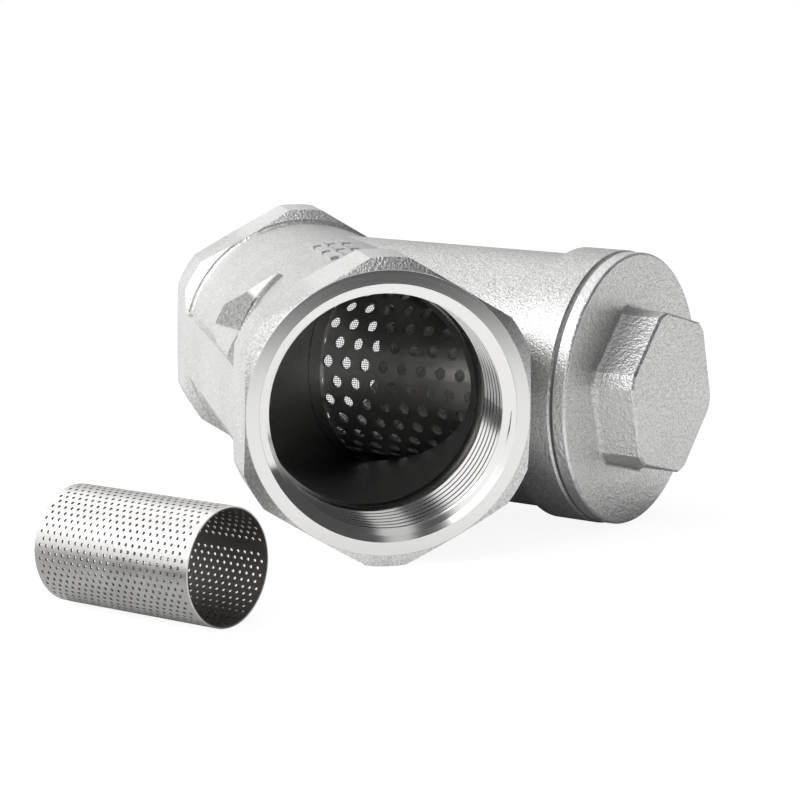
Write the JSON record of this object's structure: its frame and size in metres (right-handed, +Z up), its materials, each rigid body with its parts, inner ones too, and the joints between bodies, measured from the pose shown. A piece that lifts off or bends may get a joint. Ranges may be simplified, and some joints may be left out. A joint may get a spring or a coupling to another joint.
{
  "type": "threaded inline filter",
  "caption": "Threaded inline Y filter: cast stainless body with hexagon ports, screw cap with hexagon boss, perforated screen tube, and a loose finer screen beside it.",
  "frame": {"origin": "centre of the outlet port's face", "axes": "+Y along the pipe from the outlet to the inlet, +X to the side of the screen leg, +Z up with the strainer lying on its side"},
  "size_m": [0.1248, 0.1433, 0.052],
  "materials": {
    "cast_steel": "bead-blasted investment casting",
    "machined_steel": "bead-blasted with a machined rim",
    "gasket": "flat sealing ring",
    "screen_steel": "perforated sheet",
    "mesh_steel": "fine woven mesh",
    "band_steel": "plain rolled strip",
    "spare_steel": "finely perforated rolled sheet"
  },
  "bodies": {
    "strainer_body": {"body_casting": "cast_steel"},
    "screen_set": {"cap_gasket": "gasket", "screen_tube": "screen_steel", "screen_mesh_lining": "mesh_steel", "screen_end_band": "band_steel"},
    "cap": {"screw_cap": "machined_steel"},
    "loose_screen": {"spare_screen": "spare_steel"}
  },
  "joints": [
    {"name": "screen_draw", "type": "slide", "parent": "strainer_body", "child": "screen_set", "axis": [0.7067, -0.7071, -0.0245], "range_m": [0, 0.0105]},
    {"name": "cap_unscrew", "type": "hinge", "parent": "screen_set", "child": "cap", "pos_m": [0, 0.0709, 0], "axis": [0.7067, -0.7071, -0.0245], "range_deg": [0, 2520]},
    {"name": "loose_screen_lift", "type": "slide", "parent": "strainer_body", "child": "loose_screen", "axis": [0, 0, 1], "range_m": [0, 0.1]}
  ],
  "couplings": [
    {"joint": "cap_unscrew", "follows": "screen_draw", "rad_per_m": 4188.8}
  ]
}
